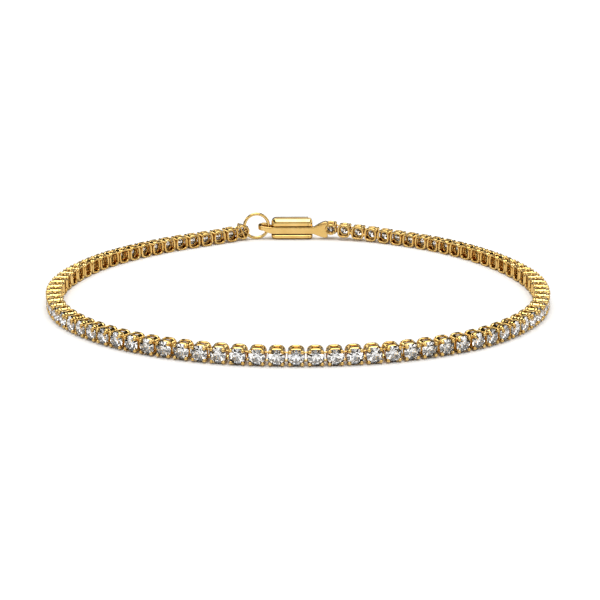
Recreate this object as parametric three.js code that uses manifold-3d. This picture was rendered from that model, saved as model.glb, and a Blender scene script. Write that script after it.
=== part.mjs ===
// A tennis bracelet that stands on its edge as an open oval, with its fold-over clasp at the back.
// Millimetres, +Z up. The front of the loop faces -Y, the clasp runs along X at the back.
import * as THREE from "three";
import { mergeVertices } from "three/addons/utils/BufferGeometryUtils.js";
import Module from "manifold-3d";

const wasm = await Module();
wasm.setup();

// Driving dimensions: the string of settings
const settingCount = 83; // settings from the jump ring round to the clasp
const leftCount = 41; // of these, the ones from the jump ring to the front centre
const settingPitch = 2.0; // from stone to stone
const settingWidth = 1.8; // of one setting, along the string
const settingHeight = 1.9; // of one setting, from edge to edge of the band
const cornerCut = 0.4; // of the settings' cut corners
const wireWidth = 0.28; // of the wire that the settings are built from
const rimDepth = 0.33; // of the open rim on the wrist's side
const postLength = 0.84; // of the four corner posts between rim and seat
const seatDepth = 0.33; // of the seat round the stone's girdle
const crownHeight = 0.3; // of the stone over its girdle
const tableWidth = 1.0; // across the flat top of the stone
const pavilionDepth = 0.64; // of the stone's point behind its seat
const prongRise = 0.3; // of the prong tips over the seat
const prongReach = 0.5; // share of the crown that a prong tip covers
const prongLean = 0.95; // share of the corner's distance that a prong tip keeps
const prongClear = 0.2; // of the band's depth in front of the table

// Driving dimensions: the clasp
const barHeight = 0.95; // of the tongue's bar, up the band
const barThickness = 0.7; // of the bar between cover and hinge
const barMiddle = 1.28; // height of the bar's middle over the ground
const hookThickness = 0.45; // of the bar where it is bent into the hook
const hookSlot = 0.6; // clear width inside the hook
const hookTipLap = 0.35; // of the hook's tip inside the closed cover
const hookPlay = 0.5; // between the ring and the inside of the bend
const coverLength = 5.8;
const coverHeight = 2.9;
const coverDepth = 2.2; // from the open side on the wrist to the outer plate
const coverLowerWall = 0.65;
const coverChannel = 1.3; // clear height between the cover's two walls
const coverPlate = 0.45; // thickness of the outer plate
const coverEdge = 0.37; // of the bevels along the cover's long edges
const coverBack = 0.5; // of the larger bevels along the outer plate
const coverNose = 0.6; // how far the cover's free end is drawn in
const pinDiameter = 0.44;
const bossWall = 0.3; // round the hinge pin in the tongue
const lugReach = 0.4; // of the cover past the hinge pin
const flareLength = 1.3; // from the bar to the end setting
const flareHeight = 2.3; // where it holds the end setting
const claspLift = 0.55; // of the end setting, because the cover under the clasp stands on the ground
const slopedCount = 6; // settings that slope from the clasp down to the ground
const claspSetIn = 0.15; // of the tongue's wrist face behind the settings' rims
const runningGap = 0.06; // round the hinge pin

// Driving dimensions: the jump ring
const ringWire = 0.42;
const ringInside = 3.0; // clear width inside the ring
const ringTurn = 10; // degrees between the ring and the clasp
const endTwist = 20; // degrees that the last setting is twisted by on the ring
const hangAngle = 197; // degrees round the ring to the corner post that it holds
const liftedCount = 3; // settings that the ring holds off the ground
const linkGap = 0.11; // between the ring and what it passes through
const fitGap = 0.2; // between pieces that pass or face each other

// The route of the string, seen from above, from the jump ring round the front to the clasp
const routePoints = [
  [-8.4, 27.4],
  [-19.7, 19.7],
  [-26.7, 11.1],
  [-29.8, 0],
  [-27.5, -11.4],
  [-20.2, -20.2],
  [-10.4, -25.1],
  [0, -26.5],
  [10.4, -25.0],
  [20.1, -20.1],
  [26.9, -11.2],
  [28.8, 0],
  [25.9, 10.7],
  [19.6, 19.6],
  [10.7, 25.8],
  [4.2, 27.75],
];

const degrees = Math.PI / 180;
const smallFacets = 10; // round the pin and the hook's bend
const ringFacets = 16;
const wireFacets = 6;

// Levels of one setting along its outward axis, measured from the middle of its depth
const settingDepth = rimDepth + postLength + seatDepth + crownHeight + prongClear;
const rimBack = -settingDepth / 2;
const rimFront = rimBack + rimDepth;
const seatBack = rimFront + postLength;
const seatFront = seatBack + seatDepth;
const tableLevel = seatFront + crownHeight;

// Turns a three.js geometry, or plain vertices and faces, into a solid that can be joined and cut
function solid(geometry) {
  const bare = geometry.clone();
  bare.deleteAttribute("normal");
  bare.deleteAttribute("uv");
  const merged = mergeVertices(bare, 1e-4);
  return new wasm.Manifold(
    new wasm.Mesh({
      numProp: 3,
      vertProperties: new Float32Array(merged.attributes.position.array),
      triVerts: new Uint32Array(merged.index.array),
    }),
  );
}

// Turns a solid back into a geometry
function geometryOf(body) {
  const mesh = body.getMesh();
  const geometry = new THREE.BufferGeometry();
  geometry.setAttribute("position", new THREE.BufferAttribute(mesh.vertProperties, 3));
  geometry.setIndex(new THREE.BufferAttribute(mesh.triVerts, 1));
  geometry.computeVertexNormals();
  return geometry;
}

// A plan outline, seen from above, raised between two heights
function raised(shape, low, high, segments = smallFacets) {
  const options = { depth: high - low, bevelEnabled: false, curveSegments: segments };
  return new THREE.ExtrudeGeometry(shape, options).translate(0, 0, low);
}

function outline(points) {
  return new THREE.Shape(points.map(([x, y]) => new THREE.Vector2(x, y)));
}

function upright(radius, x, y, low, high, segments = smallFacets) {
  return new THREE.CylinderGeometry(radius, radius, high - low, segments)
    .rotateX(Math.PI / 2)
    .translate(x, y, (low + high) / 2);
}

// The clasp, in its own frame: the end setting's middle is at x = 0, y = 0, and the clasp runs towards -X
const wristFace = claspSetIn - settingDepth / 2;
const flareStart = -settingWidth / 2 - flareLength;
const pinX = flareStart - lugReach - 2 * fitGap;
const coverFreeEnd = pinX + lugReach - coverLength;
const barLow = barMiddle - barHeight / 2;
const barHigh = barMiddle + barHeight / 2;
const bossRadius = pinDiameter / 2 + runningGap + bossWall;
const pinY = wristFace + barThickness + bossWall;
const plateInside = wristFace + coverDepth - coverPlate;
const hookMiddleY = wristFace + hookThickness + hookSlot / 2;
const ringRadius = (ringInside + ringWire) / 2;
const ringRightX = coverFreeEnd - ringWire / 2 - fitGap;
const hookBendX = ringRightX - ringWire / 2 - hookPlay;
const ringHeading = new THREE.Vector3(Math.cos(ringTurn * degrees), Math.sin(ringTurn * degrees), 0);
const ringOutward = new THREE.Vector3(-ringHeading.y, ringHeading.x, 0);
const ringMiddle = new THREE.Vector3(ringRightX, hookMiddleY, ringRadius + ringWire / 2)
  .addScaledVector(ringHeading, -ringRadius);

// The last setting hangs on the ring by its nearest corner post
const postAngle = (45 - endTwist) * degrees;
const postInside = (settingHeight - cornerCut) / Math.SQRT2 - wireWidth;
const ringClear = ringRadius - ringWire / 2 - linkGap;
const endAlong = ringClear * Math.cos(hangAngle * degrees) - postInside * Math.cos(postAngle);
const endUp = ringClear * Math.sin(hangAngle * degrees) - postInside * Math.sin(postAngle);
const endOut = -(rimFront + linkGap + ringWire / 2);
const endMiddle = ringMiddle.clone()
  .addScaledVector(ringHeading, endAlong)
  .addScaledVector(ringOutward, endOut);
endMiddle.z += endUp;

// The route is grown or shrunk until the settings fit on it and its two ends meet the clasp
function fittedRoute() {
  const wanted = settingPitch * (settingCount - 1);
  const steps = routePoints.length - 1;
  const [lastX, lastY] = routePoints[steps];
  let grow = 1;
  let curve;
  for (let round = 0; round < 8; round++) {
    const scaled = routePoints.map(([x, y]) => [(x - lastX) * grow, (y - lastY) * grow]);
    const missX = endMiddle.x - scaled[0][0];
    const missY = endMiddle.y - scaled[0][1];
    const points = scaled.map(([x, y], i) => {
      const share = 1 - i / steps;
      return new THREE.Vector3(x + missX * share, y + missY * share, 0);
    });
    curve = new THREE.CatmullRomCurve3(points, false, "centripetal");
    curve.arcLengthDivisions = 2000;
    grow *= wanted / curve.getLength();
  }
  return curve;
}

// Where each setting stands: its middle, its heading along the string and its outward direction
function stations() {
  const route = fittedRoute();
  const ringLift = endMiddle.z - settingHeight / 2;
  return Array.from({ length: settingCount }, (_, index) => {
    const share = index / (settingCount - 1);
    const middle = route.getPointAt(share);
    const heading = route.getTangentAt(share);
    const nearRing = Math.max(0, 1 - index / liftedCount);
    const nearClasp = Math.max(0, 1 - (settingCount - 1 - index) / slopedCount);
    middle.z = settingHeight / 2 + ringLift * nearRing * nearRing + claspLift * nearClasp * nearClasp;
    if (index === 0) heading.copy(ringHeading).negate();
    const outward = new THREE.Vector3(heading.y, -heading.x, 0).normalize();
    const twist = index === 0 ? endTwist * degrees : 0;
    return { middle, heading, outward, twist, closedBack: index === 0 };
  });
}

// The eight corners of a rectangle with cut corners, counter-clockwise from the +U side
function cutRectangle(width, height, cut) {
  const u = width / 2;
  const v = height / 2;
  return [
    [u, cut - v],
    [u, v - cut],
    [u - cut, v],
    [cut - u, v],
    [-u, v - cut],
    [-u, cut - v],
    [cut - u, -v],
    [u - cut, -v],
  ];
}

// A growing list of vertices and faces
class Surface {
  constructor() {
    this.positions = [];
    this.indices = [];
  }
  vertex(point) {
    this.positions.push(point.x, point.y, point.z);
    return this.positions.length / 3 - 1;
  }
  triangle(a, b, c) {
    this.indices.push(a, b, c);
  }
  quad(a, b, c, d) {
    this.triangle(a, b, c);
    this.triangle(a, c, d);
  }
  geometry() {
    const geometry = new THREE.BufferGeometry();
    geometry.setAttribute("position", new THREE.Float32BufferAttribute(this.positions, 3));
    geometry.setIndex(this.indices);
    geometry.computeVertexNormals();
    return geometry;
  }
}

// One setting with its stone, as one skin: open rim, four posts, seat, prong tips, crown, table and point.
// Returns the seat's corners, which the links to its neighbours start from.
function addSetting(surface, station, linkedBefore, linkedAfter) {
  const { middle, heading, outward, twist, closedBack } = station;
  const cos = Math.cos(twist);
  const sin = Math.sin(twist);
  const place = (u, v, w) => {
    const along = u * cos - v * sin;
    const point = middle.clone().addScaledVector(heading, along).addScaledVector(outward, w);
    point.z += u * sin + v * cos;
    return surface.vertex(point);
  };
  const ring = (corners, level) => corners.map(([u, v]) => place(u, v, level));
  const outer = cutRectangle(settingWidth, settingHeight, cornerCut);
  const innerCut = cornerCut - wireWidth * (2 - Math.SQRT2);
  const inner = cutRectangle(settingWidth - 2 * wireWidth, settingHeight - 2 * wireWidth, innerCut);
  const tableCut = tableWidth * (1 - Math.SQRT1_2);
  const rimEdge = ring(outer, rimBack);
  const rimOuter = ring(outer, rimFront);
  const rimInner = ring(inner, rimFront);
  const seatOuter = ring(outer, seatBack);
  const seatInner = ring(inner, seatBack);
  const girdle = ring(outer, seatFront);
  const table = ring(cutRectangle(tableWidth, tableWidth, tableCut), tableLevel);
  const point = place(0, 0, seatBack - (closedBack ? pavilionDepth / 6 : pavilionDepth));
  for (let i = 0; i < 8; i++) {
    const j = (i + 1) % 8;
    surface.quad(rimEdge[i], rimEdge[j], rimOuter[j], rimOuter[i]);
    surface.quad(rimEdge[j], rimEdge[i], rimInner[i], rimInner[j]);
    surface.triangle(seatInner[j], seatInner[i], point);
    const isCorner = i % 2 === 1;
    const isLinked = (i === 0 && linkedAfter) || (i === 4 && linkedBefore);
    if (!isLinked) surface.quad(seatOuter[i], seatOuter[j], girdle[j], girdle[i]);
    if (isCorner) {
      surface.quad(rimOuter[i], rimOuter[j], seatOuter[j], seatOuter[i]);
      surface.quad(rimInner[j], rimInner[i], seatInner[i], seatInner[j]);
      surface.quad(rimInner[i], rimOuter[i], seatOuter[i], seatInner[i]);
      surface.quad(rimOuter[j], rimInner[j], seatInner[j], seatOuter[j]);
      addProng(surface, place, outer[i], outer[j], girdle[i], girdle[j], table[i], table[j]);
    } else {
      surface.quad(rimOuter[i], rimOuter[j], rimInner[j], rimInner[i]);
      surface.quad(seatOuter[j], seatOuter[i], seatInner[i], seatInner[j]);
      surface.quad(girdle[i], girdle[j], table[j], table[i]);
    }
  }
  for (let i = 1; i < 7; i++) surface.triangle(table[0], table[i], table[i + 1]);
  return { seatOuter, girdle };
}

// A prong tip: it rises from the seat's corner and leans over the crown
function addProng(surface, place, cornerA, cornerB, girdleA, girdleB, tableA, tableB) {
  const topLevel = seatFront + prongRise;
  const topA = place(cornerA[0] * prongLean, cornerA[1] * prongLean, topLevel);
  const topB = place(cornerB[0] * prongLean, cornerB[1] * prongLean, topLevel);
  const middleU = (cornerA[0] + cornerB[0]) / 2;
  const middleV = (cornerA[1] + cornerB[1]) / 2;
  const tableShare = (tableWidth * (1 + Math.SQRT1_2)) / (2 * (Math.abs(middleU) + Math.abs(middleV)));
  const inward = 1 - prongReach * (1 - tableShare);
  const tip = place(middleU * inward, middleV * inward, seatFront + crownHeight * prongReach);
  surface.quad(girdleA, girdleB, topB, topA);
  surface.triangle(topA, topB, tip);
  surface.triangle(girdleA, topA, tip);
  surface.triangle(girdleB, tip, topB);
  surface.triangle(girdleA, tip, tableA);
  surface.triangle(tip, girdleB, tableB);
  surface.triangle(tip, tableB, tableA);
}

// The link between two neighbours, from seat to seat
function addLink(surface, before, after) {
  const [bs, bg, as, ag] = [before.seatOuter, before.girdle, after.seatOuter, after.girdle];
  surface.quad(bs[1], bg[1], ag[4], as[4]);
  surface.quad(bg[0], bs[0], as[5], ag[5]);
  surface.quad(bg[0], ag[5], ag[4], bg[1]);
  surface.quad(bs[1], as[4], as[5], bs[0]);
}

function stringOf(places) {
  const surface = new Surface();
  let before = null;
  places.forEach((station, index) => {
    const isLast = index === places.length - 1;
    const current = addSetting(surface, station, before !== null, !isLast);
    if (before) addLink(surface, before, current);
    before = current;
  });
  return surface.geometry();
}

// A skin through rectangular sections that stand across X, each a row of a table
function loft(sections) {
  const surface = new Surface();
  const rings = sections.map(({ x, yLow, yHigh, zLow, zHigh }) =>
    [
      [yLow, zLow],
      [yHigh, zLow],
      [yHigh, zHigh],
      [yLow, zHigh],
    ].map(([y, z]) => surface.vertex(new THREE.Vector3(x, y, z))),
  );
  for (let s = 0; s + 1 < rings.length; s++) {
    for (let i = 0; i < 4; i++) {
      const j = (i + 1) % 4;
      surface.quad(rings[s][i], rings[s][j], rings[s + 1][j], rings[s + 1][i]);
    }
  }
  const first = rings[0];
  const last = rings[rings.length - 1];
  surface.quad(first[3], first[2], first[1], first[0]);
  surface.quad(last[0], last[1], last[2], last[3]);
  return surface.geometry();
}

// The tongue: bar, hook, hinge boss and flare, soldered to the end setting
function claspTongue(endStation) {
  const tipX = coverFreeEnd + hookTipLap;
  const bend = hookSlot / 2 + hookThickness;
  const plan = new THREE.Shape();
  plan.moveTo(flareStart, wristFace);
  plan.lineTo(flareStart, wristFace + barThickness);
  plan.lineTo(tipX + fitGap, wristFace + barThickness);
  plan.lineTo(tipX - fitGap, wristFace + hookThickness);
  plan.lineTo(hookBendX, wristFace + hookThickness);
  plan.absarc(hookBendX, hookMiddleY, hookSlot / 2, -Math.PI / 2, Math.PI / 2, true);
  plan.lineTo(tipX, hookMiddleY + hookSlot / 2);
  plan.lineTo(tipX, hookMiddleY + bend);
  plan.lineTo(hookBendX, hookMiddleY + bend);
  plan.absarc(hookBendX, hookMiddleY, bend, Math.PI / 2, (3 * Math.PI) / 2, false);
  plan.closePath();
  const bar = solid(raised(plan, barLow, barHigh));
  const boss = solid(upright(bossRadius, pinX, pinY, barLow, barHigh));
  const pinHole = solid(upright(pinDiameter / 2 + runningGap, pinX, pinY, barLow - 1, barHigh + 1));
  const seatEnd = -settingWidth / 2 + wireWidth / 2;
  const reach = seatEnd - flareStart;
  const flareLow = endStation.middle.z - flareHeight / 2;
  const flareHigh = endStation.middle.z + flareHeight / 2;
  const row = (share, rise, depth) => ({
    x: flareStart + reach * share,
    yLow: wristFace,
    yHigh: wristFace + barThickness + (seatFront - wristFace - barThickness) * depth,
    zLow: barLow + (flareLow - barLow) * rise,
    zHigh: barHigh + (flareHigh - barHigh) * rise,
  });
  const flare = loft([
    row(0, 0, 0),
    row(0.35, 0.3, 0.1),
    row(0.7, 0.75, 0.6),
    row(1, 0.95, 0.95),
  ]);
  const surface = new Surface();
  addSetting(surface, endStation, false, false);
  return solid(surface.geometry())
    .add(bar.add(boss).add(solid(flare)).subtract(pinHole));
}

// The cover: a channel that opens to the wrist, with its plate cut back at the hinge
function claspCover() {
  const openSide = wristFace;
  const plateOutside = openSide + coverDepth;
  const channelHigh = coverLowerWall + coverChannel;
  const section = outline([
    [openSide, coverEdge / 2],
    [openSide + coverEdge, 0],
    [plateOutside - coverBack, 0],
    [plateOutside, coverBack],
    [plateOutside, coverHeight - coverBack],
    [plateOutside - coverBack, coverHeight],
    [openSide + coverEdge, coverHeight],
    [openSide, coverHeight - coverEdge],
    [openSide, channelHigh],
    [plateInside, channelHigh],
    [plateInside, coverLowerWall],
    [openSide, coverLowerWall],
  ]);
  const channel = new THREE.ExtrudeGeometry(section, { depth: coverLength, bevelEnabled: false })
    .applyMatrix4(new THREE.Matrix4().makeBasis(
      new THREE.Vector3(0, 1, 0),
      new THREE.Vector3(0, 0, 1),
      new THREE.Vector3(1, 0, 0),
    ))
    .translate(coverFreeEnd, 0, 0);
  const hingeEnd = coverFreeEnd + coverLength;
  const side = outline([
    [coverFreeEnd, coverNose],
    [coverFreeEnd + coverNose, 0],
    [hingeEnd - coverEdge, 0],
    [hingeEnd, coverEdge],
    [hingeEnd, coverHeight - coverEdge],
    [hingeEnd - coverEdge, coverHeight],
    [coverFreeEnd + coverNose, coverHeight],
    [coverFreeEnd, coverHeight - coverNose],
  ]);
  const sideBlock = new THREE.ExtrudeGeometry(side, { depth: 2 * coverDepth, bevelEnabled: false })
    .rotateX(Math.PI / 2)
    .translate(0, plateOutside + coverDepth / 2, 0);
  const plan = new THREE.Shape();
  plan.moveTo(coverFreeEnd, openSide - 1);
  plan.lineTo(pinX + lugReach, openSide - 1);
  plan.lineTo(pinX + lugReach, pinY);
  plan.absarc(pinX, pinY, lugReach, 0, Math.PI / 2, false);
  plan.lineTo(pinX - fitGap, pinY + lugReach);
  plan.lineTo(pinX - fitGap, plateOutside + 1);
  plan.lineTo(coverFreeEnd + coverNose, plateOutside + 1);
  plan.lineTo(coverFreeEnd + coverNose, plateOutside);
  plan.lineTo(coverFreeEnd, plateOutside - coverNose);
  plan.closePath();
  const planBlock = raised(plan, -1, coverHeight + 1);
  const pinHole = upright(pinDiameter / 2 + runningGap, pinX, pinY, -1, coverHeight + 1);
  return solid(channel)
    .intersect(solid(sideBlock))
    .intersect(solid(planBlock))
    .subtract(solid(pinHole));
}

// The jump ring: a round wire whose section is swept round by a lathe, then stood on its edge
function jumpRing() {
  const section = [];
  for (let i = 0; i <= wireFacets; i++) {
    const angle = (2 * Math.PI * i) / wireFacets;
    const across = ringRadius + (ringWire / 2) * Math.cos(angle);
    section.push(new THREE.Vector2(across, (ringWire / 2) * Math.sin(angle)));
  }
  return new THREE.LatheGeometry(section, ringFacets, Math.PI / ringFacets);
}

const polishedGold = new THREE.MeshStandardMaterial({ color: 0xd9a441, roughness: 0.18, metalness: 1 });
const setGold = new THREE.MeshStandardMaterial({ color: 0xe6c98a, roughness: 0.15, metalness: 0.8 });
const satinGold = new THREE.MeshStandardMaterial({ color: 0xe3be70, roughness: 0.35, metalness: 1 });

function named(name, geometry, material) {
  const mesh = new THREE.Mesh(geometry, material);
  mesh.name = name;
  return mesh;
}

const places = stations();
const bracelet = new THREE.Group();
bracelet.add(named("stone_line_left", stringOf(places.slice(0, leftCount)), setGold));
bracelet.add(named("stone_line_right", stringOf(places.slice(leftCount, settingCount - 1)), setGold));
bracelet.add(named("clasp_tongue", geometryOf(claspTongue(places[settingCount - 1])), satinGold));
bracelet.add(named("clasp_cover", geometryOf(claspCover()), polishedGold));

const pinEnds = 0.04; // below the cover's faces at each end
const pin = upright(pinDiameter / 2, pinX, pinY, pinEnds, coverHeight - pinEnds);
bracelet.add(named("hinge_pin", pin, polishedGold));

const ring = named("jump_ring", jumpRing(), polishedGold);
ring.position.copy(ringMiddle);
ring.rotation.z = ringTurn * degrees;
bracelet.add(ring);

// The origin is the middle of the bracelet's box, on the ground
bracelet.updateMatrixWorld(true);
const box = new THREE.Box3().setFromObject(bracelet, true);
const middle = box.getCenter(new THREE.Vector3());
bracelet.position.set(-middle.x, -middle.y, -box.min.z);

export default bracelet;
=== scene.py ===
# %% [markdown]
# # A tennis bracelet
# The real thing is a string of 83 little square baskets of gold wire, each with a round brilliant, closed
# by a fold-over clasp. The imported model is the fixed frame: this lesson dresses it with finer meshes and
# materials.

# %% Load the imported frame
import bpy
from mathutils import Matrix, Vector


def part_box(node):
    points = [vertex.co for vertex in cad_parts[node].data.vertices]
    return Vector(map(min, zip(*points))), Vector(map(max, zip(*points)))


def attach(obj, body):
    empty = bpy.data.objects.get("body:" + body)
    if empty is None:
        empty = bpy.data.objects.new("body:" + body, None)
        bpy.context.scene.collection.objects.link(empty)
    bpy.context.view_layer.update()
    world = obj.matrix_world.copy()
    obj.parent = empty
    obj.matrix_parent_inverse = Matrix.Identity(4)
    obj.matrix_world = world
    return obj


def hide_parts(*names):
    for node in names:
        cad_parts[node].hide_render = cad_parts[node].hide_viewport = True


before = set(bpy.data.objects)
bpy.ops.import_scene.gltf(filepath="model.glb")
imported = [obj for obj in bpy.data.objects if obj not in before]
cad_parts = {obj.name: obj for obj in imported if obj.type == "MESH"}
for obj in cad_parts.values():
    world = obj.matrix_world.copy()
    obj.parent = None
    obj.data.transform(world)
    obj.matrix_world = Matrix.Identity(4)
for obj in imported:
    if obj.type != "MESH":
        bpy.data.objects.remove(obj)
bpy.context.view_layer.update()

# %% Tools of this lesson
import math

import bpy
import numpy as np
from mathutils import Matrix, Vector


# %% [markdown]
# ## Where everything is
# The clasp sets the places: its hinge pin stands upright at the back of the loop, so the pin's box gives
# a fixed point, and the other lengths are measured from there in millimetres. Numbers in millimetres read
# like a maker's drawing, and one helper turns them into Blender's metres when a mesh is made.

# %% The clasp's own frame: the end setting's middle is at x = 0, y = 0, and the clasp runs towards -X
MM = 0.001
PIN_X = -3.0  # the hinge pin, from the end setting's middle
PIN_Y = 0.15
pin_low, pin_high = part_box("hinge_pin")
CLASP_ORIGIN = np.array([
    (pin_low.x + pin_high.x) / 2 / MM - PIN_X,
    (pin_low.y + pin_high.y) / 2 / MM - PIN_Y,
    0.0,
])
print("The end setting's middle in mm:", CLASP_ORIGIN.round(3))

# %% Sizes of one setting: u runs along the string, v up the band, w from the wrist to the stone
COUNT = 83
LEFT_COUNT = 41
PITCH = 2.0
WIDTH = 1.8
HEIGHT = 1.9
RIM_BACK = -1.0  # the open rim on the wrist's side
RIM_FRONT = -0.62
SEAT_BACK = 0.0  # the seat round the stone
SEAT_FRONT = 0.5
WIRE = 0.28

# %% [markdown]
# ## The loop
# A tennis bracelet that stands on its edge takes the shape of an open oval. The loop is one smooth curve
# through a few points seen from above. Blender has Bezier curves for that, but the settings have to stand
# exactly where the frame has them, so the same centripetal Catmull-Rom curve is worked out here in a few
# lines.

# %% The route's points, from the jump ring round the front to the clasp, in mm
ROUTE = np.array([
    [-8.4, 27.4],
    [-19.7, 19.7],
    [-26.7, 11.1],
    [-29.8, 0],
    [-27.5, -11.4],
    [-20.2, -20.2],
    [-10.4, -25.1],
    [0, -26.5],
    [10.4, -25.0],
    [20.1, -20.1],
    [26.9, -11.2],
    [28.8, 0],
    [25.9, 10.7],
    [19.6, 19.6],
    [10.7, 25.8],
    [4.2, 27.75],
])


# %% A curve through points, and a walk along it in equal steps
def curve_point(points, t):
    last = len(points) - 1
    span = min(int(t * last), last - 1)
    share = t * last - span
    before = points[span - 1] if span > 0 else 2 * points[0] - points[1]
    start, end = points[span], points[span + 1]
    after = points[span + 2] if span + 2 <= last else 2 * points[last] - points[last - 1]
    spans = ((before, start), (start, end), (end, after))
    d0, d1, d2 = (math.sqrt(np.linalg.norm(b - a)) for a, b in spans)
    slope0 = ((start - before) / d0 - (end - before) / (d0 + d1) + (end - start) / d1) * d1
    slope1 = ((end - start) / d1 - (after - start) / (d1 + d2) + (after - end) / d2) * d1
    square = -3 * start + 3 * end - 2 * slope0 - slope1
    cube = 2 * start - 2 * end + slope0 + slope1
    return start + slope0 * share + square * share**2 + cube * share**3


def arc_lengths(points, divisions=2000):
    walk = np.array([curve_point(points, i / divisions) for i in range(divisions + 1)])
    steps = np.linalg.norm(np.diff(walk, axis=0), axis=1)
    return np.concatenate([[0.0], np.cumsum(steps)])


# %% [markdown]
# ## The jump ring holds the other end
# The last setting hangs on the round jump ring by one corner post, a little off the ground. Its place
# follows from the ring's size, so the loop is grown or shrunk until it ends there.

# %% The ring's place, and the last setting's
RING_WIRE = 0.42
RING_RADIUS = 1.71  # to the middle of the wire
RING_TURN = math.radians(10)
RING_RIGHT = np.array([-8.81, -0.1, RING_RADIUS + RING_WIRE / 2])  # its wire inside the hook
END_TWIST = math.radians(20)  # how the last setting hangs askew
HANG_ANGLE = math.radians(197)  # where it touches the ring, round from the hook's side
LINK_GAP = 0.11
LIFTED = 3  # settings that slope up to the ring
SLOPED = 6  # settings that slope up to the clasp
CORNER_CUT = 0.4  # what a rounded corner takes off the setting's height
RIM_MARGIN = 0.05
CLASP_LIFT = 0.55  # of the end setting, because the cover stands on the ground
ring_heading = np.array([math.cos(RING_TURN), math.sin(RING_TURN), 0.0])
ring_outward = np.array([-ring_heading[1], ring_heading[0], 0.0])
ring_middle = RING_RIGHT - RING_RADIUS * ring_heading
post_inside = (HEIGHT - CORNER_CUT) / math.sqrt(2) - WIRE
ring_clear = RING_RADIUS - RING_WIRE / 2 - LINK_GAP
post_angle = math.radians(45) - END_TWIST
end_along = ring_clear * math.cos(HANG_ANGLE) - post_inside * math.cos(post_angle)
end_up = ring_clear * math.sin(HANG_ANGLE) - post_inside * math.sin(post_angle)
end_out = -(RIM_FRONT - RIM_MARGIN + LINK_GAP + RING_WIRE / 2)
end_middle = ring_middle + ring_heading * end_along + ring_outward * end_out + [0, 0, end_up]
print("The last setting's middle in mm:", end_middle.round(3))


# %% Fit the loop between its two ends
def fitted_route():
    wanted = PITCH * (COUNT - 1)
    shares = 1 - np.arange(len(ROUTE)) / (len(ROUTE) - 1)
    grow = 1.0
    for _ in range(8):
        scaled = (ROUTE - ROUTE[-1]) * grow
        points = scaled + np.outer(shares, end_middle[:2] - scaled[0])
        lengths = arc_lengths(points)
        grow *= wanted / lengths[-1]
    return points, lengths


route_points, route_lengths = fitted_route()
print("The loop from first to last stone in mm:", round(float(route_lengths[-1]), 3))


# %% Each setting's middle and its three directions
NEARBY = 1e-4  # a short step along the curve, to read its direction
END_HEADING = np.array([-1.0, 0.06, 0.0])  # the end setting is soldered in line with the clasp


def station(index):
    reached = route_lengths[-1] * index / (COUNT - 1)
    t = np.interp(reached, route_lengths, np.linspace(0, 1, len(route_lengths)))
    before = curve_point(route_points, max(t - NEARBY, 0.0))
    after = curve_point(route_points, min(t + NEARBY, 1.0))
    heading = np.append(after - before, 0.0)
    heading /= np.linalg.norm(heading)
    twist = 0.0
    if index == 0:
        heading = -ring_heading
        twist = END_TWIST
    if index == COUNT - 1:
        heading = END_HEADING / np.linalg.norm(END_HEADING)
    outward = np.array([heading[1], -heading[0], 0.0])
    lift = (end_middle[2] - HEIGHT / 2) * max(0.0, 1 - index / LIFTED) ** 2
    lift += CLASP_LIFT * max(0.0, 1 - (COUNT - 1 - index) / SLOPED) ** 2
    middle = np.append(curve_point(route_points, t), HEIGHT / 2 + lift)
    up = np.array([0.0, 0.0, 1.0])
    u_axis = heading * math.cos(twist) + up * math.sin(twist)
    v_axis = up * math.cos(twist) - heading * math.sin(twist)
    return CLASP_ORIGIN + middle, np.array([u_axis, v_axis, outward])


stations = [station(index) for index in range(COUNT)]
print("The front centre setting's middle in mm:", stations[LEFT_COUNT - 1][0].round(2))

# %% [markdown]
# ## From points to pieces
# Every piece below is first a list of points and faces in millimetres, called a shell. Shells can be
# placed, joined and then turned into one Blender mesh. Smooth shading with sharp edges marked by angle
# keeps a wire round and a bevel crisp without adding faces.

# %% A shell is a pair: points and faces
def joined(shells):
    points = []
    faces = []
    start = 0
    for shell_points, shell_faces in shells:
        points.append(np.asarray(shell_points, float))
        faces.extend(tuple(start + i for i in face) for face in shell_faces)
        start += len(shell_points)
    return np.concatenate(points), faces


def placed(shell, place):
    middle, axes = place
    return middle + np.asarray(shell[0]) @ axes, shell[1]


def volume(points, faces):
    """The signed volume inside a closed shell: negative where its faces look inwards."""
    total = 0.0
    for face in faces:
        first = points[face[0]]
        for second, third in zip(face[1:-1], face[2:]):
            total += np.dot(first, np.cross(points[second], points[third])) / 6
    return total


def lofted(rings, closed=False):
    """Skins equal rings of points, one after the other, with its faces outwards."""
    count = len(rings[0])
    points = np.concatenate(rings)
    faces = []
    rows = len(rings) if closed else len(rings) - 1
    for row in range(rows):
        a = row * count
        b = (row + 1) % len(rings) * count
        for i in range(count):
            j = (i + 1) % count
            faces.append((a + i, a + j, b + j, b + i))
    if not closed:
        faces.append(tuple(range(count))[::-1])
        faces.append(tuple((len(rings) - 1) * count + i for i in range(count)))
    if volume(points - points.mean(axis=0), faces) < 0:
        faces = [face[::-1] for face in faces]
    return points, faces


def piece(name, shell, material, body, sharp_angle=40):
    """Makes a Blender object of a shell, in metres, that rides on a body."""
    mesh = bpy.data.meshes.new(name)
    mesh.from_pydata((np.asarray(shell[0]) * MM).tolist(), [], shell[1])
    mesh.validate()
    mesh.shade_smooth()
    mesh.set_sharp_from_angle(angle=math.radians(sharp_angle))
    mesh.materials.append(material)
    made = bpy.data.objects.new(name, mesh)
    bpy.context.scene.collection.objects.link(made)
    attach(made, body)
    triangles = sum(len(face.vertices) - 2 for face in mesh.polygons)
    print(f"{name}: {triangles} triangles")
    return made


# %% [markdown]
# ## Colours and nodes
# Colours are picked as sRGB hex values, the way a screen shows them. Shaders count in linear light, so
# one function turns the one into the other. Another small function adds any node with its settings and
# links.

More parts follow.
